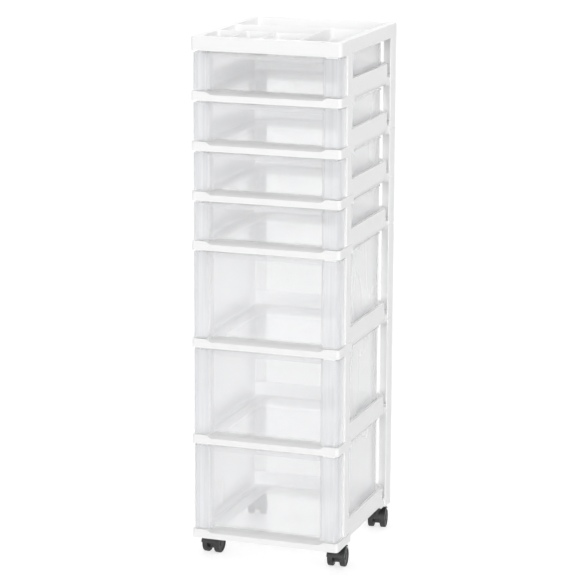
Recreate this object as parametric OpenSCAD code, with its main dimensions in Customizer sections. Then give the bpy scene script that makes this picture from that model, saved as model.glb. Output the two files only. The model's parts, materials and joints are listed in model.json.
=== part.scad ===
// Rolling drawer tower: an organiser top, a stack of open shelf trays on corner posts, clear
// drawers that slide in them, and four twin-wheel swivel casters. Millimetres, +Z up. The
// origin is on the floor under the middle of the tower and the drawers open towards -Y.

/* [Tower] */
// Width across the shelf bars
tower_w = 306; // [290:1:340]
// Depth from the bar fronts to the backs of the rear posts
tower_d = 362; // [345:1:400]
// Number of shallow drawers, counted from the top
shallow_count = 4; // [1:1:4]
// Number of deep drawers, below the shallow ones
deep_count = 3; // [1:1:3]
// Distance from one shelf to the next at a shallow drawer
shallow_pitch = 98; // [90:1:130]
// Distance from one shelf to the next at a deep drawer
deep_pitch = 196; // [150:1:230]

/* [Shelf trays] */
// Height of the bar across the front of each tray
bar_h = 18; // [16:1:24]
// Depth of that bar, front to back
bar_depth = 26; // [24:1:32]
// Radius of the bar's two front corners
bar_corner_r = 7; // [3:0.5:10]
// Drop of the finger scoop at the bar's front face
scoop_drop = 6; // [2:0.5:8]
// Reach of the scoop back from the bar's front face
scoop_reach = 18; // [10:1:20]
// Distance from each bar end to the full depth of the scoop
scoop_end = 41; // [35:1:60]
// Thickness of the moulded walls of trays, posts and organiser
wall = 2.6; // [2:0.1:3]
// How far the tray's side rails stand in from the bar ends
rail_inset = 3; // [2.5:0.5:5]
// Height of the rails and of the rear wall above the shelf level
rail_rise = 29; // [20:1:36]
// Depth of the rails' lower edge below the shelf level
floor_drop = 17; // [15:1:17]
// Width of the lip turned inward along the top of the rails
lip_w = 6; // [4:0.5:7]
// Radius of the tray's rear corners, seen from above
tray_corner_r = 35; // [28:1:36]
// Radius along the rails' lower edge
tray_fillet_r = 13; // [8:1:14]
// Distance from the tray's rear wall to the backs of the rear posts
tray_rear_gap = 27; // [26:1:30]
// Width of the tray's open middle
window_w = 200; // [160:1:220]
// Distance from the bar's front face to the open middle
window_front = 46; // [40:1:70]
// Width of the ledge left along the foot of the tray's rear wall
rear_ledge = 8; // [6:1:16]
// How far the corner block reaches past the front post that stands on it
shoe_margin = 5; // [3:1:9]
// Width of the runner that a drawer slides on
runner_w = 12; // [8:1:14]
// Distance from the tray's rear wall to the rear ends of the legs under the runners
leg_rear_gap = 21; // [18:1:30]
// Height of the guide rib beside the drawer above the shelf level
guide_rise = 8; // [4:1:12]

/* [Posts] */
// Distance from the bar's front face to the front posts
post_front = 46; // [46:1:48]
// Length of a front post's section, front to back
post_len = 31; // [27:1:32]
// Width of a front post's section, side to side
post_w = 10; // [8:0.5:10]
// How far the front posts stand in from the bar ends
post_inset = 2; // [1:0.5:2]
// Radius of the front post's leading edge
post_edge_r = 4; // [3:0.5:5]
// Length of a rear post's side flange
flange_side = 40; // [34:1:44]
// Width of a rear post's back flange
flange_back = 27; // [26:1:30]
// Radius of the rear post's outer corner
flange_corner_r = 6; // [4:0.5:9]
// How far the rear posts stand in from the tower's sides
rear_inset = 1; // [0.5:0.5:2]
// Height of the seam between rear posts below each shelf level
seam_drop = 9; // [6:1:12]
// Thickness of the end plates that close the posts
end_plate = 3; // [2:0.5:4]
// Length of the tenons at the post ends
tenon_len = 7; // [5:0.5:7.5]
// Length of a tenon's section, front to back
tenon_l = 14; // [10:1:16]
// Width of a tenon's section, side to side
tenon_w = 4.5; // [3:0.5:5]

/* [Organiser top] */
// Height of the organiser's rim band
organiser_h = 27; // [26:1:36]
// How far the rim stands above the next shelf level of the stack
organiser_rise = 8; // [6:1:16]
// Radius of the organiser's outer corners, seen from above
organiser_r = 7; // [4:1:12]
// Width of the flat rim around the pockets
rim_w = 16; // [14:1:20]
// Thickness of the dividers between pockets
divider = 3; // [2.5:0.5:4]
// Depth of the pockets below the rim
pocket_depth = 23; // [15:1:23]
// Depth of the front row of small pockets, front to back
front_row = 92; // [70:1:110]
// Width of the first two small pockets; the third takes the rest of the row
small_pocket_w = 58; // [45:1:66]
// Depth of the long tray behind the front row, front to back
middle_row = 98; // [80:1:110]
// Width of the tall pocket at the right front
tall_pocket_w = 74; // [55:1:80]
// Radius between the pocket walls and the pocket floors
pocket_fillet_r = 9; // [5:1:12]
// Radius of the pocket corners, seen from above
pocket_corner_r = 7; // [4:1:9]

/* [Drawers] */
// Thickness of the drawer walls
drawer_wall = 2.4; // [1.6:0.1:2.4]
// Gap between a drawer's body and the front posts beside it
drawer_side_gap = 6; // [5:0.5:10]
// Gap between a drawer's rear face and the outside of the tray's rear wall
drawer_rear_gap = 17; // [12:1:40]
// Distance from the bar's front face to the drawer's corner columns
column_front = 2; // [1:0.5:4]
// Distance from the drawer's corner columns back to the recessed front panel
panel_recess = 18; // [12:1:20]
// Flat width of each corner column, from the tower's side
column_w = 31; // [24:1:36]
// Radius where each column's inner side meets the recessed panel
column_fillet_r = 4.5; // [3:0.5:5]
// How far the corner columns stand in from the tower's sides
column_inset = 2.5; // [2:0.5:4]
// Radius of the corner columns' outer edge
column_r = 9; // [5:0.5:12]
// Gap between the wrapped column and the front post behind it
column_gap = 3; // [2:0.5:5]
// Radius of the drawer's rear corners
drawer_corner_r = 12; // [6:1:16]
// Height of the skids under the drawer
skid_h = 2; // [1:0.5:3]
// Gap between a drawer's top edge and what is above it
drawer_top_gap = 4; // [3:0.5:8]
// Width of the rolled rim around the drawer's body
drawer_rim = 2.5; // [1.5:0.5:3]
// Height of the pull lip across the drawer's front
pull_h = 11; // [8:1:16]
// How far the pull lip stands out from the recessed panel
pull_reach = 8; // [5:0.5:8.5]

/* [Casters] */
// Wheel radius
wheel_r = 20; // [18:0.5:24]
// Height from the tops of the wheels to the underside of the base tray
caster_head = 9; // [8.5:0.5:14]
// Width of one wheel
wheel_w = 11.5; // [9:0.5:13]
// Width of the housing's web between the two wheels
web_w = 12.5; // [12:0.5:18]
// Gap between each wheel and the web
wheel_gap = 0.5; // [0.3:0.1:1]
// Distance from the swivel axis to the wheel axle
trail = 15; // [13:0.5:20]
// Diameter of the axle
axle_d = 6; // [4:0.5:8]
// How far the axle reaches into each wheel
axle_grip = 8; // [6:0.5:8.5]
// Diameter of the caster stem
stem_d = 8; // [6:0.5:10]
// How far the stem reaches up into the base tray
stem_grip = 13; // [10:0.5:15]
// How far the stem reaches down into the housing
stem_depth = 17; // [12:0.5:19]
// Radius of the housing's web around the axle
web_r = 12; // [9:0.5:15]
// Radial running clearance of stems and axles
running_gap = 0.05; // [0.02:0.01:0.1]
// Distance from the tower's sides to the caster stems
caster_side = 20; // [19:1:34]
// Distance from the bar's front face to the front caster stems
caster_front = 53; // [50:1:66]
// Distance from the tower's rear to the rear caster stems
caster_rear = 39; // [38:1:60]

/* [Hidden] */
$fn = 64;
// Gaps between pieces: under a sliding skid, round a tenon, past its end, beside a drawer
slide_gap = 0.3;
fit_gap = 0.15;
end_gap = 0.5;
guide_gap = 1;
// How far one shape runs into another that it joins, or a cut runs past the face it opens
bite = 1;

tier_count = shallow_count + deep_count;
tiers = [1 : tier_count];
half_w = tower_w / 2;
ground_gap = 2 * wheel_r + caster_head;
base_top = ground_gap + bar_h;
rail_x = half_w - rail_inset;
rail_front = post_front + post_len + slide_gap;
tray_rear = tower_d - tray_rear_gap;
organiser_top = shelf_top(1) + shallow_pitch + organiser_rise;
organiser_bottom = organiser_top - organiser_h;
window_corner_r = 14;
shoe_land = 8;
shoe_w = post_inset + post_w + shoe_land;
shoe_end = post_front + post_len + shoe_margin;

drawer_half = half_w - post_inset - post_w - drawer_side_gap;
guide_x = drawer_half + guide_gap;
drawer_rear = tray_rear - drawer_rear_gap;
column_x = half_w - column_inset;
column_rear = post_front - column_gap;
column_edge = half_w - column_w;
panel_y = column_front + panel_recess;
curl_r = panel_recess / 2;
curl_x = column_edge - curl_r;
skid_w = runner_w - 2;

post_x = half_w - post_inset;
front_tenon_y = post_front + post_len / 2;
front_tenon_x = post_x - post_w / 2;
rear_post_x = half_w - rear_inset;
bracket_gap = 0.6;
bracket_r = max(flange_corner_r - wall, 1);
bracket_x = rear_post_x - wall - bracket_gap;
bracket_y = tower_d - wall - bracket_gap;
bracket_side = 26;
bracket_len = 34;
plate_side = 20;
plate_len = 22;
rear_tenon_x = bracket_x - plate_side / 2;
rear_tenon_y = bracket_y - plate_len / 2;
plate_bite = 0.5;
seam_gap = 0.4;
block_land = 1;

pad_w = 30;
axle_z = wheel_r;
hood_gap = 1.2;
hood_t = 2.3;
hood_r = wheel_r + hood_gap + hood_t;
hood_lift = 4;
hub_r = web_w / 2;
hub_floor = 4;
head_r = hub_r + 4;
collar_r = stem_d / 2 + 3;
collar_t = 1.6;
swivel_gap = 0.5;
housing_top = ground_gap - collar_t - swivel_gap;
caster_half_w = web_w / 2 + wheel_gap + wheel_w;
wheel_edge_r = 2.5;
wheel_dish = 1.5;
wheel_rim_t = 4.5;
wheel_hub_r = axle_d / 2 + 4;

sides = [["left", -1], ["right", 1]];
// Corner name, side, distance from the front, and the swivel angle the caster was left at
casters = [
    ["front_left", -1, caster_front, -3],
    ["front_right", 1, caster_front, 5],
    ["rear_left", -1, tower_d - caster_rear, 9],
    ["rear_right", 1, tower_d - caster_rear, 7]
];

// Tier k counts from the top, so the base tray carries tier_count.
function pitch(k) = k <= shallow_count ? shallow_pitch : deep_pitch;
function shelf_top(k) = k >= tier_count ? base_top : shelf_top(k + 1) + pitch(k + 1);
function ceiling(k) = k == 1 ? organiser_bottom : shelf_top(k - 1) - bar_h;

// Everything is drawn with y measured back from the bar's front face.
module from_front() {
    translate([0, -tower_d / 2, 0]) children();
}

// Draws the right-hand form of a piece as it is, and the left-hand one as its mirror image.
module both_sides() {
    for (s = [-1, 1]) on_side(s) children();
}

module on_side(s) {
    if (s > 0) children();
    else mirror([1, 0, 0]) children();
}

// A rectangle with rounded corners, between two opposite corners.
module rounded_rect(low, high, r) {
    translate([low.x + r, low.y]) square([high.x - low.x - 2 * r, high.y - low.y]);
    translate([low.x, low.y + r]) square([high.x - low.x, high.y - low.y - 2 * r]);
    for (x = [low.x + r, high.x - r], y = [low.y + r, high.y - r])
        translate([x, y]) circle(r);
}

// ---------------------------------------------------------------- shelf trays

// The tray seen from above: square at the front, round at its two rear corners.
module tray_plan(inset, front) {
    r = tray_corner_r - inset;
    x = rail_x - inset;
    y = tray_rear - inset;
    translate([-x, front]) square([2 * x, y - r - front]);
    translate([-x + r, front]) square([2 * (x - r), y - front]);
    for (s = [-1, 1]) translate([s * (x - r), y - r]) circle(r);
}

// Section of a rail: x runs inward from the outer face, y up from the rail's lower edge.
module rail_section() {
    rise = floor_drop + rail_rise;
    translate([0, tray_fillet_r]) square([wall, rise - tray_fillet_r]);
    translate([0, rise - wall]) square([lip_w, wall]);
    intersection() {
        square(tray_fillet_r);
        translate([tray_fillet_r, tray_fillet_r]) difference() {
            circle(tray_fillet_r);
            circle(tray_fillet_r - wall);
        }
    }
    translate([tray_fillet_r, 0]) square([bite, wall]);
}

// Section of the rear wall, which stands on the ledge at the shelf level.
module rear_section() {
    translate([0, floor_drop - wall]) square([wall, rail_rise + wall]);
    translate([0, floor_drop + rail_rise - wall]) square([lip_w, wall]);
}

// Each side's rail, from the front post round the corner, and its half of the rear wall.
module rails(level) {
    corner_y = tray_rear - tray_corner_r;
    corner_x = rail_x - tray_corner_r;
    translate([0, 0, level - floor_drop]) both_sides() {
        translate([rail_x, corner_y, 0]) rotate([90, 0, 0]) mirror([1, 0, 0])
            linear_extrude(corner_y - rail_front) rail_section();
        translate([corner_x, corner_y, 0]) rotate_extrude(angle = 90)
            translate([tray_corner_r, 0]) mirror([1, 0]) rail_section();
        translate([-bite / 2, tray_rear, 0]) rotate([90, 0, 90]) mirror([1, 0, 0])
            linear_extrude(corner_x + bite / 2) rear_section();
    }
}

// The ledge round the tray's open middle, at the level that the drawer's skids slide on.
module shelf_ledge(level) {
    edge_x = guide_x + wall;
    translate([0, 0, level - wall]) linear_extrude(wall) difference() {
        intersection() {
            tray_plan(wall / 2, bar_depth - wall);
            translate([-edge_x, 0]) square([2 * edge_x, tray_rear]);
        }
        rounded_rect([-window_w / 2, window_front], [window_w / 2, tray_rear - rear_ledge],
            window_corner_r);
    }
}

// The strip along the bottom of a side rail, as far inward as the leg under the runner.
module rail_floor(level) {
    translate([0, 0, level - floor_drop]) linear_extrude(wall) intersection() {
        tray_plan(tray_fillet_r, bar_depth - wall);
        translate([drawer_half - runner_w, 0]) square([runner_w + wall + tray_fillet_r, tray_rear]);
    }
}

// The bar across the front: a channel open below, with its top scooped between the drawer's
// columns so that fingers reach under the drawer.
module front_bar(level) {
    difference() {
        translate([0, 0, level - bar_h]) linear_extrude(bar_h) {
            translate([-half_w + bar_corner_r, 0])
                square([tower_w - 2 * bar_corner_r, bar_depth]);
            translate([-half_w, bar_corner_r]) square([tower_w, bar_depth - bar_corner_r]);
            for (s = [-1, 1])
                translate([s * (half_w - bar_corner_r), bar_corner_r]) circle(bar_corner_r);
        }
        translate([-half_w + shoe_w, wall, level - bar_h - bite])
            cube([tower_w - 2 * shoe_w, bar_depth - 2 * wall, bar_h + bite - scoop_drop - wall]);
        scoop(level);
    }
}

// A wedge that sinks towards the front face, with slanted ends.
module scoop(level) {
    reach_x = half_w - scoop_end;
    end_run = 2 * scoop_drop;
    slope = scoop_drop / scoop_reach;
    intersection() {
        translate([-half_w, 0, level]) rotate([90, 0, 90]) linear_extrude(tower_w)
            polygon([[-bite, -scoop_drop - bite * slope], [scoop_reach + bite / slope, bite],
                [-bite, bite]]);
        translate([0, scoop_reach + bar_depth, level]) rotate([90, 0, 0])
            linear_extrude(2 * bar_depth + scoop_reach)
            polygon([[-reach_x, -scoop_drop - bite], [reach_x, -scoop_drop - bite],
                [reach_x + end_run, bite], [-reach_x - end_run, bite]]);
    }
}

// The corner block behind each bar end, which a front post stands on and another hangs from.
module front_shoe(level) {
    translate([half_w - shoe_w, bar_depth - wall, level - bar_h])
        cube([shoe_w, shoe_end - bar_depth + wall, bar_h]);
}

// A blind socket that opens upward or downward at a given height.
module socket(centre, mouth, opens_up) {
    depth = tenon_len + end_gap;
    translate([centre.x - tenon_w / 2 - fit_gap, centre.y - tenon_l / 2 - fit_gap,
        opens_up ? mouth - depth : mouth - bite])
        cube([tenon_w + 2 * fit_gap, tenon_l + 2 * fit_gap, depth + bite]);
}

module post_sockets(mouth, opens_up) {
    both_sides() {
        socket([front_tenon_x, front_tenon_y], mouth, opens_up);
        socket([rear_tenon_x, rear_tenon_y], mouth, opens_up);
    }
}

// The bracket that reaches from the tray's round rear corner into the rear post's angle.
module rear_bracket(level) {
    translate([0, 0, level - bar_h]) linear_extrude(bar_h) difference() {
        translate([bracket_x - bracket_side, bracket_y - bracket_len]) {
            square([bracket_side - bracket_r, bracket_len]);
            square([bracket_side, bracket_len - bracket_r]);
            translate([bracket_side - bracket_r, bracket_len - bracket_r]) circle(bracket_r);
        }
        tray_plan(wall / 2, 0);
    }
}

// The leg under the ledge where a drawer's skid runs, and the rib that guides the drawer's side.
module runner(level) {
    guide_y = post_front + wall;
    front = bar_depth - wall;
    floor_z = level - floor_drop;
    translate([drawer_half - runner_w, front, floor_z])
        cube([wall, tray_rear - leg_rear_gap - front, floor_drop]);
    translate([guide_x, guide_y, floor_z])
        cube([wall, tray_rear - tray_corner_r - guide_y, floor_drop + guide_rise]);
}

module tray_body(level) {
    front_bar(level);
    rails(level);
    shelf_ledge(level);
    both_sides() {
        front_shoe(level);
        rear_bracket(level);
        rail_floor(level);
        runner(level);
    }
}

module shelf_tray(level) {
    color("white") from_front() difference() {
        tray_body(level);
        post_sockets(level, true);
        post_sockets(level - bar_h, false);
    }
}

// The lowest tray has a pad with a blind bore over each caster.
module base_tray() {
    color("white") difference() {
        union() {
            from_front() tray_body(base_top);
            for (c = casters) place_caster(c, 0)
                translate([-pad_w / 2, -pad_w / 2, ground_gap])
                cube([pad_w, pad_w, bar_h]);
        }
        from_front() post_sockets(base_top, true);
        for (c = casters) place_caster(c, 0)
            translate([0, 0, ground_gap - bite])
            cylinder(r = stem_d / 2 + running_gap, h = stem_grip + end_gap + bite);
    }
}

// ---------------------------------------------------------------- posts

// Section of a front post: a channel open towards the drawer, with a round leading edge.
module front_post_section() {
    low = [post_x - post_w, post_front];
    high = [post_x, post_front + post_len];
    difference() {
        union() {
            translate(low) square([post_w - post_edge_r, post_len]);
            translate([low.x, low.y + post_edge_r]) square([post_w, post_len - post_edge_r]);
            translate([high.x - post_edge_r, low.y + post_edge_r]) circle(post_edge_r);
        }
        translate([low.x - bite, low.y + wall])
            square([post_w - wall + bite, post_len - 2 * wall]);
    }
}

module front_tenon(z) {
    translate([front_tenon_x - tenon_w / 2, front_tenon_y - tenon_l / 2, z])
        cube([tenon_w, tenon_l, tenon_len + bite]);
}

module front_post(k, s) {
    low = shelf_top(k);
    high = ceiling(k);
    color("whitesmoke") from_front() on_side(s) {
        translate([0, 0, low]) linear_extrude(high - low) front_post_section();
        for (z = [low, high - end_plate]) translate([post_x - post_w, post_front + wall / 2, z])
            cube([post_w - wall / 2, post_len - wall, end_plate]);
        front_tenon(low - tenon_len);
        front_tenon(high - bite);
    }
}

// Section of a rear post: an angle round the tower's rear corner.
module rear_post_section() {
    r = flange_corner_r;
    difference() {
        union() {
            translate([rear_post_x - flange_back, tower_d - wall]) square([flange_back - r, wall]);
            translate([rear_post_x - wall, tower_d - flange_side]) square([wall, flange_side - r]);
            translate([rear_post_x - r, tower_d - r]) intersection() {
                circle(r);
                square(r);
            }
        }
        translate([rear_post_x - r, tower_d - r]) intersection() {
            circle(r - wall);
            square(r);
        }
    }
}

module rear_tenon(z) {
    translate([rear_tenon_x - tenon_w / 2, rear_tenon_y - tenon_l / 2, z])
        cube([tenon_w, tenon_l, tenon_len + bite]);
}

// An end plate inside the angle, seated on the bracket of the tray it meets.
module rear_end_plate(z) {
    reach = bracket_gap + plate_bite;
    translate([bracket_x - plate_side, bracket_y - plate_len, z])
        cube([plate_side + reach, plate_len + reach, end_plate]);
}

module rear_post(k, s) {
    low = k == tier_count ? ground_gap : shelf_top(k) - seam_drop + seam_gap / 2;
    high = k == 1 ? organiser_bottom : shelf_top(k - 1) - seam_drop - seam_gap / 2;
    color("whitesmoke") from_front() on_side(s) {
        translate([0, 0, low]) linear_extrude(high - low) rear_post_section();
        rear_end_plate(shelf_top(k));
        rear_end_plate(ceiling(k) - end_plate);
        rear_tenon(shelf_top(k) - tenon_len);
        rear_tenon(ceiling(k) - bite);
    }
}

// ---------------------------------------------------------------- organiser top

// Low and high corner of each pocket's mouth.
function pocket_boxes() = let (
    left = -half_w + rim_w,
    right = half_w - rim_w,
    tall_left = right - tall_pocket_w,
    row_right = tall_left - divider,
    second_left = left + small_pocket_w + divider,
    third_left = second_left + small_pocket_w + divider,
    row_rear = rim_w + front_row,
    middle_y = row_rear + divider,
    middle_rear = middle_y + middle_row,
    rear_y = middle_rear + divider
) [
    [[left, rim_w], [left + small_pocket_w, row_rear]],
    [[second_left, rim_w], [second_left + small_pocket_w, row_rear]],
    [[third_left, rim_w], [row_right, row_rear]],
    [[left, middle_y], [row_right, middle_rear]],
    [[tall_left, rim_w], [right, middle_rear]],
    [[left, rear_y], [right, tower_d - rim_w]]
];

// A pocket with round corners and round edges where its end walls meet its floor.
module pocket(box) {
    low = box[0];
    high = box[1];
    height = pocket_depth + pocket_fillet_r + bite;
    intersection() {
        translate([0, 0, organiser_top - pocket_depth]) linear_extrude(pocket_depth + bite)
            rounded_rect(low, high, pocket_corner_r);
        translate([low.x - bite, 0, organiser_top - pocket_depth]) rotate([90, 0, 90])
            linear_extrude(high.x - low.x + 2 * bite)
            rounded_rect([low.y, 0], [high.y, height], pocket_fillet_r);
    }
}

// The square box that each pocket hangs in under the deck.
module pocket_box(box) {
    translate([box[0].x - wall, box[0].y - wall, organiser_top - pocket_depth - wall])
        cube([box[1].x - box[0].x + 2 * wall, box[1].y - box[0].y + 2 * wall, pocket_depth + wall / 2]);
}

module organiser_plan(inset) {
    rounded_rect([-half_w + inset, inset], [half_w - inset, tower_d - inset], organiser_r - inset);
}

// Blocks under the deck that take the tenons of the top posts.
module organiser_blocks() {
    block_h = organiser_h - wall / 2;
    both_sides() {
        translate([post_x - post_w - block_land, post_front, organiser_bottom])
            cube([post_w + 2 * block_land, post_len, block_h]);
        translate([bracket_x - plate_side, bracket_y - plate_len, organiser_bottom])
            cube([plate_side + block_land, plate_len + block_land, block_h]);
    }
}

module top_organiser() {
    color("white") from_front() difference() {
        union() {
            difference() {
                translate([0, 0, organiser_bottom]) linear_extrude(organiser_h) organiser_plan(0);
                translate([0, 0, organiser_bottom - bite])
                    linear_extrude(organiser_h - wall + bite) organiser_plan(wall);
            }
            for (box = pocket_boxes()) pocket_box(box);
            organiser_blocks();
        }
        for (box = pocket_boxes()) pocket(box);
        post_sockets(organiser_bottom, false);
    }
}

// ---------------------------------------------------------------- drawers

// The drawer seen from above, shrunk by inset: corner columns at the front that curl back
// to a recessed panel, and a body that narrows behind the columns.
module drawer_plan(inset) {
    curl_y = column_front + curl_r;
    body_plan(inset, panel_y + inset);
    both_sides() {
        translate([column_edge, column_front + inset])
            square([column_x - column_edge - column_r, column_rear - column_front - 2 * inset]);
        translate([column_edge, column_front + column_r])
            square([column_x - column_edge - inset, column_rear - column_front - column_r - inset]);
        translate([column_x - column_r, column_front + column_r]) circle(column_r - inset);
        translate([column_edge, curl_y]) circle(curl_r - inset);
        translate([curl_x + inset, curl_y])
            square([curl_r, panel_y + inset + bite - curl_y]);
        translate([curl_x - column_fillet_r, panel_y - column_fillet_r]) difference() {
            square([column_fillet_r + inset + bite, column_fillet_r + inset + bite]);
            circle(column_fillet_r + inset);
        }
    }
}

// The drawer's body from a given front line to its round rear corners.
module body_plan(inset, front) {
    x = drawer_half - inset;
    y = drawer_rear - inset;
    r = drawer_corner_r - inset;
    translate([-x, front]) square([2 * x, y - r - front]);
    translate([-x + r, front]) square([2 * (x - r), y - front]);
    for (s = [-1, 1]) translate([s * (x - r), y - r]) circle(r);
}

// The pull lip: a ledge from column to column, above the recessed panel, with its front edge
// turned down.
module pull_lip(top) {
    reach_x = curl_x + drawer_wall / 2;
    translate([-reach_x, panel_y - pull_reach, top - drawer_wall])
        cube([2 * reach_x, pull_reach + drawer_wall / 2, drawer_wall]);
    translate([-reach_x, panel_y - pull_reach, top - pull_h])
        cube([2 * reach_x, drawer_wall, pull_h]);
}

module drawer(k) {
    low = shelf_top(k) + slide_gap;
    bottom = low + skid_h;
    top = ceiling(k) - drawer_top_gap;
    color("lightcyan", 0.5) from_front() {
        difference() {
            translate([0, 0, bottom]) linear_extrude(top - bottom) drawer_plan(0);
            translate([0, 0, bottom + drawer_wall]) linear_extrude(top - bottom)
                drawer_plan(drawer_wall);
        }
        translate([0, 0, top - drawer_wall]) linear_extrude(drawer_wall) difference() {
            body_plan(-drawer_rim, post_front);
            body_plan(drawer_wall / 2, post_front - bite);
        }
        pull_lip(top);
        both_sides() translate([drawer_half - skid_w, post_front, low])
            cube([skid_w, drawer_rear - drawer_corner_r - post_front, skid_h + drawer_wall / 2]);
    }
}

// ---------------------------------------------------------------- casters

module place_caster(c, angle) {
    from_front() translate([c[1] * (half_w - caster_side), c[2], 0]) rotate([0, 0, angle])
        children();
}

module across(half_length) {
    translate([-half_length, 0, 0]) rotate([0, 90, 0]) linear_extrude(2 * half_length) children();
}

// Black housing: a hub for the stem, a web between the wheels and a hood over them.
module caster_housing() {
    hub_h = stem_depth + hub_floor;
    head_h = housing_top - axle_z - wheel_r - hood_gap;
    difference() {
        union() {
            translate([0, 0, housing_top - hub_h]) cylinder(r = hub_r, h = hub_h);
            translate([0, 0, housing_top - head_h]) cylinder(r = head_r, h = head_h);
            translate([0, trail, axle_z]) across(web_w / 2) circle(web_r);
            translate([-web_w / 2, 0, axle_z]) cube([web_w, trail, hood_r]);
            difference() {
                translate([0, trail, axle_z]) across(caster_half_w) difference() {
                    circle(hood_r);
                    circle(hood_r - hood_t);
                }
                hood_cut();
            }
            translate([-web_w / 2, trail, axle_z]) cube([web_w, web_r / 2, hood_r - hood_t]);
        }
        translate([0, 0, housing_top - stem_depth - end_gap])
            cylinder(r = stem_d / 2 + running_gap, h = stem_depth + end_gap + bite);
        translate([0, trail, axle_z]) across(web_w) circle(axle_d / 2 + running_gap);
    }
}

// What the hood leaves open: everything below the axle's height and the rear quarter.
module hood_cut() {
    reach = hood_r + bite;
    hood_low = axle_z + hood_lift;
    translate([-caster_half_w - bite, trail - reach, hood_low - 2 * reach])
        cube([2 * (caster_half_w + bite), 2 * reach, 2 * reach]);
    translate([-caster_half_w - bite, trail + web_r, hood_low - bite])
        cube([2 * (caster_half_w + bite), reach, reach]);
}

// Steel axle pin through the web and into both wheels.
module caster_axle() {
    translate([0, trail, axle_z]) across(web_w / 2 + wheel_gap + axle_grip) circle(axle_d / 2);
}

// A wheel with a rounded tread, a dished outer face and a blind bore on its inner face.
module wheel() {
    flat_r = wheel_r - wheel_edge_r;
    rotate([0, 90, 0]) difference() {
        rotate_extrude() {
            square([flat_r, wheel_w]);
            translate([0, wheel_edge_r]) square([wheel_r, wheel_w - 2 * wheel_edge_r]);
            for (y = [wheel_edge_r, wheel_w - wheel_edge_r]) translate([flat_r, y])
                circle(wheel_edge_r);
        }
        translate([0, 0, wheel_w - wheel_dish]) difference() {
            cylinder(r = wheel_r - wheel_rim_t, h = wheel_dish + bite);
            cylinder(r = wheel_hub_r, h = wheel_dish + bite);
        }
        translate([0, 0, -bite])
            cylinder(r = axle_d / 2 + running_gap, h = axle_grip + end_gap + bite);
    }
}

module caster_wheel(s) {
    translate([0, trail, axle_z]) on_side(s)
        translate([web_w / 2 + wheel_gap, 0, 0]) wheel();
}

// Steel stems with a collar under the base tray, one for each caster.
module caster_stems() {
    color("silver") for (c = casters) place_caster(c, 0) {
        translate([0, 0, housing_top - stem_depth])
            cylinder(r = stem_d / 2, h = ground_gap + stem_grip - housing_top + stem_depth);
        translate([0, 0, ground_gap - collar_t]) cylinder(r = collar_r, h = collar_t);
    }
}

// ---------------------------------------------------------------- assembly

top_organiser();
base_tray();
caster_stems();
for (k = [1 : tier_count - 1])
    shelf_tray(shelf_top(k));
for (k = tiers, s = sides) {
    front_post(k, s[1]);
    rear_post(k, s[1]);
}
for (k = tiers)
    drawer(k);
for (c = casters) {
    color("dimgray") place_caster(c, c[3]) caster_housing();
    color("silver") place_caster(c, c[3]) caster_axle();
    color("black") place_caster(c, c[3]) caster_wheel(-1);
    color("black") place_caster(c, c[3]) caster_wheel(1);
}
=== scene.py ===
import json
import math

import bpy
from mathutils import Matrix, Vector

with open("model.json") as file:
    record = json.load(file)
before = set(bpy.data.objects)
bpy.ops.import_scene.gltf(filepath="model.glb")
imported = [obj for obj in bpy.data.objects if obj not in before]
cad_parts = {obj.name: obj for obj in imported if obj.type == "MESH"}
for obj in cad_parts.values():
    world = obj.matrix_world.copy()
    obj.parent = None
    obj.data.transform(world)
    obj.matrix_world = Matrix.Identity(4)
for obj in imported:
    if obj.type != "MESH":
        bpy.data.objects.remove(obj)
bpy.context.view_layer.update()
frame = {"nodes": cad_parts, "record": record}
record = frame["record"]
slot_of = {s["node"]: s["material_slot"] for s in record["subparts"]}

# ---------------------------------------------------------------- sizes, in metres
MM = 0.001
FRAME_EDGE = 0.9 * MM
DRAWER_EDGE = 0.5 * MM
CASTER_EDGE = 0.5 * MM
FLOOR_SIZE = 60.0

# The drawers' corner columns, frosted: from this far out and to this far back
COLUMN_INNER = 117 * MM
COLUMN_REAR = -148 * MM
COLUMN_FADE = (4 * MM, 6 * MM)  # where the frost begins, across and along the drawer

# Camera of the photograph, in the row frame
CAMERA_PLACE = (1.64859, -4.79018, 1.67225)
CAMERA_YAW = math.radians(19.1527)
CAMERA_PITCH = math.radians(12.668)
CAMERA_ROLL = math.radians(0.2317)
CAMERA_LENS = 161.648

# ---------------------------------------------------------------- light
CLEAR_WALLS = 48  # clear surfaces a ray may cross, with seven drawers above one another
WHITE_BOUNCES = 12  # light keeps bouncing between the white walls
HORIZON = 0.5  # strength of the sky, level and overhead
ZENITH = 0.12
FLOOR_GREY = 0.6
FLOOR_GLOW = 0.66  # makes the floor white where it is seen, and leaves the shadow

# Wide, soft lamps all round: name, direction of the light, strength, spread in degrees
LAMPS = (
    ("front", (-0.32, 0.92, -0.2), 1.6, 35),
    ("front_left", (0.45, 0.85, -0.15), 0.35, 40),
    ("high", (0.1, 0.65, -0.75), 0.15, 50),
    ("right", (-0.95, 0.15, -0.15), 1.35, 60),
    ("left", (0.9, 0.1, -0.15), 0.95, 60),
    ("back", (0.2, -0.9, -0.25), 1.0, 60),
)

# ---------------------------------------------------------------- surfaces
PLASTIC_IOR = 1.49
CASTER_IOR = 1.5
MILK_TINTS = ((0.90, 0.905, 0.92), (0.96, 0.96, 0.966))
FROST_TINT = (0.85, 0.86, 0.885)
CLEAR_TINT = (0.992, 0.992, 0.993)
MILK_GLOW = 0.4  # share of the milky light that comes through from behind
HAZE_FACING = (0.19, 0.24)  # share of haze seen square on
HAZE_SLANTED = (0.45, 0.3)  # and at a slant, on the walls and on the floors
FROST = (0.10, 0.20)  # haze that the frosted columns add
GLOSS_FACING = 0.04


# ---------------------------------------------------------------- node helpers
def new_material(name):
    material = bpy.data.materials.new(name)
    material.use_nodes = True
    tree = material.node_tree
    tree.nodes.clear()
    return material, tree


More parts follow.
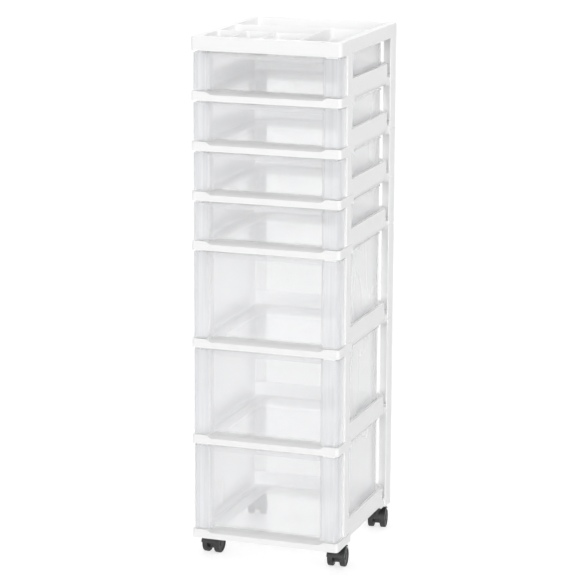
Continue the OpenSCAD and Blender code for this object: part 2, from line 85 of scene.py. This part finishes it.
def add(tree, kind, **settings):
    node = tree.nodes.new(kind)
    for key, value in settings.items():
        setattr(node, key, value)
    return node


def finish_material(tree, shader_output):
    output = add(tree, "ShaderNodeOutputMaterial")
    tree.links.new(shader_output, output.inputs["Surface"])


def noise(tree, scale, detail=3.0, stretch=(1, 1, 1)):
    """A noise texture in object space, stretched along the axes."""
    place = add(tree, "ShaderNodeTexCoord")
    mapping = add(tree, "ShaderNodeMapping")
    mapping.inputs["Scale"].default_value = stretch
    tree.links.new(place.outputs["Object"], mapping.inputs["Vector"])
    texture = add(tree, "ShaderNodeTexNoise")
    texture.inputs["Scale"].default_value = scale
    texture.inputs["Detail"].default_value = detail
    tree.links.new(mapping.outputs["Vector"], texture.inputs["Vector"])
    return texture.outputs["Fac"]


def between(tree, source, start, end, low=0.0, high=1.0):
    """Maps start to end onto low to high, and holds the ends."""
    node = add(tree, "ShaderNodeMapRange")
    node.inputs["From Min"].default_value = start
    node.inputs["From Max"].default_value = end
    node.inputs["To Min"].default_value = low
    node.inputs["To Max"].default_value = high
    tree.links.new(source, node.inputs["Value"])
    return node.outputs["Result"]


def ramp(tree, texture, low, high):
    """Maps the middle of a noise texture onto a range of values."""
    return between(tree, texture, 0.3, 0.7, low, high)


def maths(tree, operation, first, second):
    """A Math node, whose two inputs are sockets or numbers."""
    node = add(tree, "ShaderNodeMath", operation=operation)
    for socket, value in zip(node.inputs, (first, second)):
        if isinstance(value, (int, float)):
            socket.default_value = value
        else:
            tree.links.new(value, socket)
    return node.outputs["Value"]


def mix_colours(tree, share, first, second):
    """Mixes two colours, each a socket or three numbers."""
    node = add(tree, "ShaderNodeMix", data_type="RGBA")
    tree.links.new(share, node.inputs["Factor"])
    ends = [s for s in node.inputs if s.type == "RGBA"]
    for socket, colour in zip(ends, (first, second)):
        if isinstance(colour, tuple):
            socket.default_value = (*colour, 1)
        else:
            tree.links.new(colour, socket)
    return next(s for s in node.outputs if s.type == "RGBA")


def mix_shaders(tree, share, first, second):
    """Mixes two shaders: share is a socket or a number, and 1 is all second."""
    node = add(tree, "ShaderNodeMixShader")
    if isinstance(share, float):
        node.inputs["Fac"].default_value = share
    else:
        tree.links.new(share, node.inputs["Fac"])
    tree.links.new(first, node.inputs[1])
    tree.links.new(second, node.inputs[2])
    return node.outputs["Shader"]


def bump(tree, height, strength, distance):
    node = add(tree, "ShaderNodeBump")
    node.inputs["Strength"].default_value = strength
    node.inputs["Distance"].default_value = distance
    tree.links.new(height, node.inputs["Height"])
    return node.outputs["Normal"]


def grey(value):
    return (value, value, value)


def axes_of(tree, kind):
    """The three axes of a texture coordinate: Object, Normal or Generated."""
    place = add(tree, "ShaderNodeTexCoord")
    axes = add(tree, "ShaderNodeSeparateXYZ")
    tree.links.new(place.outputs[kind], axes.inputs["Vector"])
    return axes.outputs


def facing(tree, blend):
    """0 square on and 1 edge on."""
    node = add(tree, "ShaderNodeLayerWeight")
    node.inputs["Blend"].default_value = blend
    return node.outputs["Facing"]


def seen_directly(tree):
    """1 for rays that show a background: from the camera, a mirror or clear plastic."""
    path = add(tree, "ShaderNodeLightPath").outputs
    camera_or_mirror = maths(tree, "MAXIMUM", path["Is Camera Ray"], path["Is Glossy Ray"])
    return maths(tree, "MAXIMUM", camera_or_mirror, path["Is Transmission Ray"])


# ---------------------------------------------------------------- materials
def white_plastic():
    material, tree = new_material("white_plastic")
    shader = add(tree, "ShaderNodeBsdfPrincipled")
    shader.inputs["IOR"].default_value = PLASTIC_IOR
    colour = mix_colours(tree, noise(tree, 14), grey(0.90), grey(0.92))
    tree.links.new(colour, shader.inputs["Base Color"])
    tree.links.new(ramp(tree, noise(tree, 60), 0.34, 0.46), shader.inputs["Roughness"])
    tree.links.new(bump(tree, noise(tree, 900, 2), 0.25, 0.03 * MM), shader.inputs["Normal"])
    finish_material(tree, shader.outputs["BSDF"])
    return material


def column_mask(tree):
    """1 on the drawer's frosted corner columns."""
    place = axes_of(tree, "Object")
    sideways = maths(tree, "ABSOLUTE", place["X"], 0.0)
    outside = between(tree, sideways, COLUMN_INNER, COLUMN_INNER + COLUMN_FADE[0])
    in_front = between(tree, place["Y"], COLUMN_REAR, COLUMN_REAR - COLUMN_FADE[1])
    return maths(tree, "MULTIPLY", outside, in_front)


def milky_body(tree, column):
    """The haze in the moulding: milk lit from both sides."""
    flow = noise(tree, 16, 2, (1, 1, 0.35))
    colour = mix_colours(tree, column, mix_colours(tree, flow, *MILK_TINTS), FROST_TINT)
    milk = add(tree, "ShaderNodeBsdfPrincipled")
    milk.inputs["IOR"].default_value = PLASTIC_IOR
    tree.links.new(colour, milk.inputs["Base Color"])
    tree.links.new(ramp(tree, noise(tree, 30), 0.3, 0.45), milk.inputs["Roughness"])
    tree.links.new(bump(tree, flow, 0.3, 0.02 * MM), milk.inputs["Normal"])
    glow = add(tree, "ShaderNodeBsdfTranslucent")
    tree.links.new(colour, glow.inputs["Color"])
    return mix_shaders(tree, MILK_GLOW, milk.outputs["BSDF"], glow.outputs["BSDF"])


def haze_share(tree, column):
    """How much of the haze shows: more at a slant, and more on the columns."""
    level = maths(tree, "ABSOLUTE", axes_of(tree, "Normal")["Z"], 0.0)
    haze = add(tree, "ShaderNodeMapRange")
    tree.links.new(facing(tree, 0.25), haze.inputs["Value"])
    tree.links.new(ramp(tree, noise(tree, 9, 3, (1, 1, 0.3)), *HAZE_FACING), haze.inputs["To Min"])
    tree.links.new(between(tree, level, 0.6, 0.95, *HAZE_SLANTED), haze.inputs["To Max"])
    streaks = ramp(tree, noise(tree, 120, 3, (1, 1, 0.03)), *FROST)
    return maths(tree, "ADD", haze.outputs["Result"], maths(tree, "MULTIPLY", column, streaks))


def clear_plastic():
    """Thin clear moulding: haze and gloss on what is seen, and the light passes unhindered."""
    material, tree = new_material("clear_plastic")
    direct = seen_directly(tree)
    column = column_mask(tree)
    clear = add(tree, "ShaderNodeBsdfTransparent")
    clear.inputs["Color"].default_value = (*CLEAR_TINT, 1)
    haze = maths(tree, "MULTIPLY", haze_share(tree, column), direct)
    moulding = mix_shaders(tree, haze, clear.outputs["BSDF"], milky_body(tree, column))
    shine = add(tree, "ShaderNodeBsdfGlossy")
    tree.links.new(ramp(tree, noise(tree, 12), 0.10, 0.16), shine.inputs["Roughness"])
    edge_on = maths(tree, "POWER", facing(tree, 0.5), 5.0)
    gloss = maths(tree, "MULTIPLY", between(tree, edge_on, 0.0, 1.0, GLOSS_FACING, 1.0), direct)
    finish_material(tree, mix_shaders(tree, gloss, moulding, shine.outputs["BSDF"]))
    return material


def black_plastic(name, tints, roughness):
    material, tree = new_material(name)
    shader = add(tree, "ShaderNodeBsdfPrincipled")
    shader.inputs["IOR"].default_value = CASTER_IOR
    colour = mix_colours(tree, noise(tree, 120), grey(tints[0]), grey(tints[1]))
    tree.links.new(colour, shader.inputs["Base Color"])
    tree.links.new(ramp(tree, noise(tree, 200), *roughness), shader.inputs["Roughness"])
    tree.links.new(bump(tree, noise(tree, 1500, 2), 0.3, 0.03 * MM), shader.inputs["Normal"])
    finish_material(tree, shader.outputs["BSDF"])
    return material


def steel():
    material, tree = new_material("steel")
    shader = add(tree, "ShaderNodeBsdfPrincipled")
    shader.inputs["Metallic"].default_value = 1.0
    turned = noise(tree, 400, 2, (0.1, 0.1, 1))
    colour = mix_colours(tree, turned, grey(0.52), grey(0.66))
    tree.links.new(colour, shader.inputs["Base Color"])
    tree.links.new(ramp(tree, turned, 0.24, 0.4), shader.inputs["Roughness"])
    finish_material(tree, shader.outputs["BSDF"])
    return material


MATERIALS = {
    "white_plastic": white_plastic(),
    "clear_plastic": clear_plastic(),
    "caster_black": black_plastic("caster_black", (0.016, 0.024), (0.38, 0.5)),
    "wheel_black": black_plastic("wheel_black", (0.024, 0.036), (0.45, 0.6)),
    "steel": steel(),
}

# Slots whose edges are rounded, and how much
EDGES = {
    "white_plastic": FRAME_EDGE,
    "clear_plastic": DRAWER_EDGE,
    "caster_black": CASTER_EDGE,
    "wheel_black": CASTER_EDGE,
}


# ---------------------------------------------------------------- moulded edges
def soften(obj, width):
    """Rounds the sharp edges of a carried-over solid, as a mould does."""
    weld = obj.modifiers.new("weld", "WELD")
    weld.merge_threshold = 0.001 * MM
    flat = obj.modifiers.new("flat", "DECIMATE")
    flat.decimate_type = "DISSOLVE"
    flat.angle_limit = math.radians(0.5)
    bevel = obj.modifiers.new("bevel", "BEVEL")
    bevel.width = width
    bevel.segments = 2
    bevel.limit_method = "ANGLE"
    bevel.angle_limit = math.radians(32)
    bevel.harden_normals = False
    normals = obj.modifiers.new("normals", "WEIGHTED_NORMAL")
    normals.weight = 60


def dress_solids():
    for name, obj in frame["nodes"].items():
        slot = slot_of[name]
        obj.data.materials.clear()
        obj.data.materials.append(MATERIALS[slot])
        if slot in EDGES:
            soften(obj, EDGES[slot])


# ---------------------------------------------------------------- floor, world and lamps
def flat_square(name, half):
    mesh = bpy.data.meshes.new(name)
    corners = [(-half, -half, 0), (half, -half, 0), (half, half, 0), (-half, half, 0)]
    mesh.from_pydata(corners, [], [(0, 1, 2, 3)])
    obj = bpy.data.objects.new(name, mesh)
    bpy.context.scene.collection.objects.link(obj)
    return obj


def make_floor():
    """A pale floor that glows to white where it is seen."""
    floor = flat_square("floor", FLOOR_SIZE / 2)
    material, tree = new_material("floor_white")
    paper = add(tree, "ShaderNodeBsdfDiffuse")
    paper.inputs["Color"].default_value = (*grey(FLOOR_GREY), 1)
    glow = add(tree, "ShaderNodeEmission")
    tree.links.new(maths(tree, "MULTIPLY", seen_directly(tree), FLOOR_GLOW), glow.inputs["Strength"])
    both = add(tree, "ShaderNodeAddShader")
    tree.links.new(paper.outputs["BSDF"], both.inputs[0])
    tree.links.new(glow.outputs["Emission"], both.inputs[1])
    finish_material(tree, both.outputs["Shader"])
    floor.data.materials.append(material)


def make_world():
    """White where it is seen, and a soft sky that dims overhead for the light."""
    world = bpy.data.worlds.new("studio")
    world.use_nodes = True
    tree = world.node_tree
    tree.nodes.clear()
    upward = axes_of(tree, "Generated")["Z"]
    strength = add(tree, "ShaderNodeMapRange")
    tree.links.new(seen_directly(tree), strength.inputs["Value"])
    tree.links.new(between(tree, upward, 0.0, 1.0, HORIZON, ZENITH), strength.inputs["To Min"])
    strength.inputs["To Max"].default_value = 1.0
    sky = add(tree, "ShaderNodeBackground")
    sky.inputs["Color"].default_value = (1, 1, 1, 1)
    tree.links.new(strength.outputs["Result"], sky.inputs["Strength"])
    output = add(tree, "ShaderNodeOutputWorld")
    tree.links.new(sky.outputs["Background"], output.inputs["Surface"])
    bpy.context.scene.world = world


def add_sun(name, direction, strength, spread):
    """A far, soft lamp shining along direction."""
    lamp = bpy.data.lights.new(name, "SUN")
    lamp.energy = strength
    lamp.angle = math.radians(spread)
    obj = bpy.data.objects.new(name, lamp)
    obj.rotation_euler = Vector(direction).to_track_quat("-Z", "Y").to_euler()
    bpy.context.scene.collection.objects.link(obj)


def make_camera():
    data = bpy.data.cameras.new("camera")
    data.sensor_width = 36
    data.lens = CAMERA_LENS
    data.clip_end = 100
    camera = bpy.data.objects.new("camera", data)
    across = math.cos(CAMERA_PITCH)
    forward = Vector((
        -math.sin(CAMERA_YAW) * across,
        math.cos(CAMERA_YAW) * across,
        -math.sin(CAMERA_PITCH)))
    level = Vector((math.cos(CAMERA_YAW), math.sin(CAMERA_YAW), 0))
    upright = level.cross(forward)
    right = math.cos(CAMERA_ROLL) * level + math.sin(CAMERA_ROLL) * upright
    up = right.cross(forward)
    camera.matrix_world = Matrix((
        (right.x, up.x, -forward.x, CAMERA_PLACE[0]),
        (right.y, up.y, -forward.y, CAMERA_PLACE[1]),
        (right.z, up.z, -forward.z, CAMERA_PLACE[2]),
        (0, 0, 0, 1)))
    bpy.context.scene.collection.objects.link(camera)
    bpy.context.scene.camera = camera


dress_solids()
make_floor()
make_world()
for lamp in LAMPS:
    add_sun(*lamp)
make_camera()
bpy.context.scene.view_settings.view_transform = "Standard"
bpy.context.scene.cycles.transparent_max_bounces = CLEAR_WALLS
bpy.context.scene.cycles.diffuse_bounces = WHITE_BOUNCES
bpy.context.scene.cycles.max_bounces = 2 * WHITE_BOUNCES
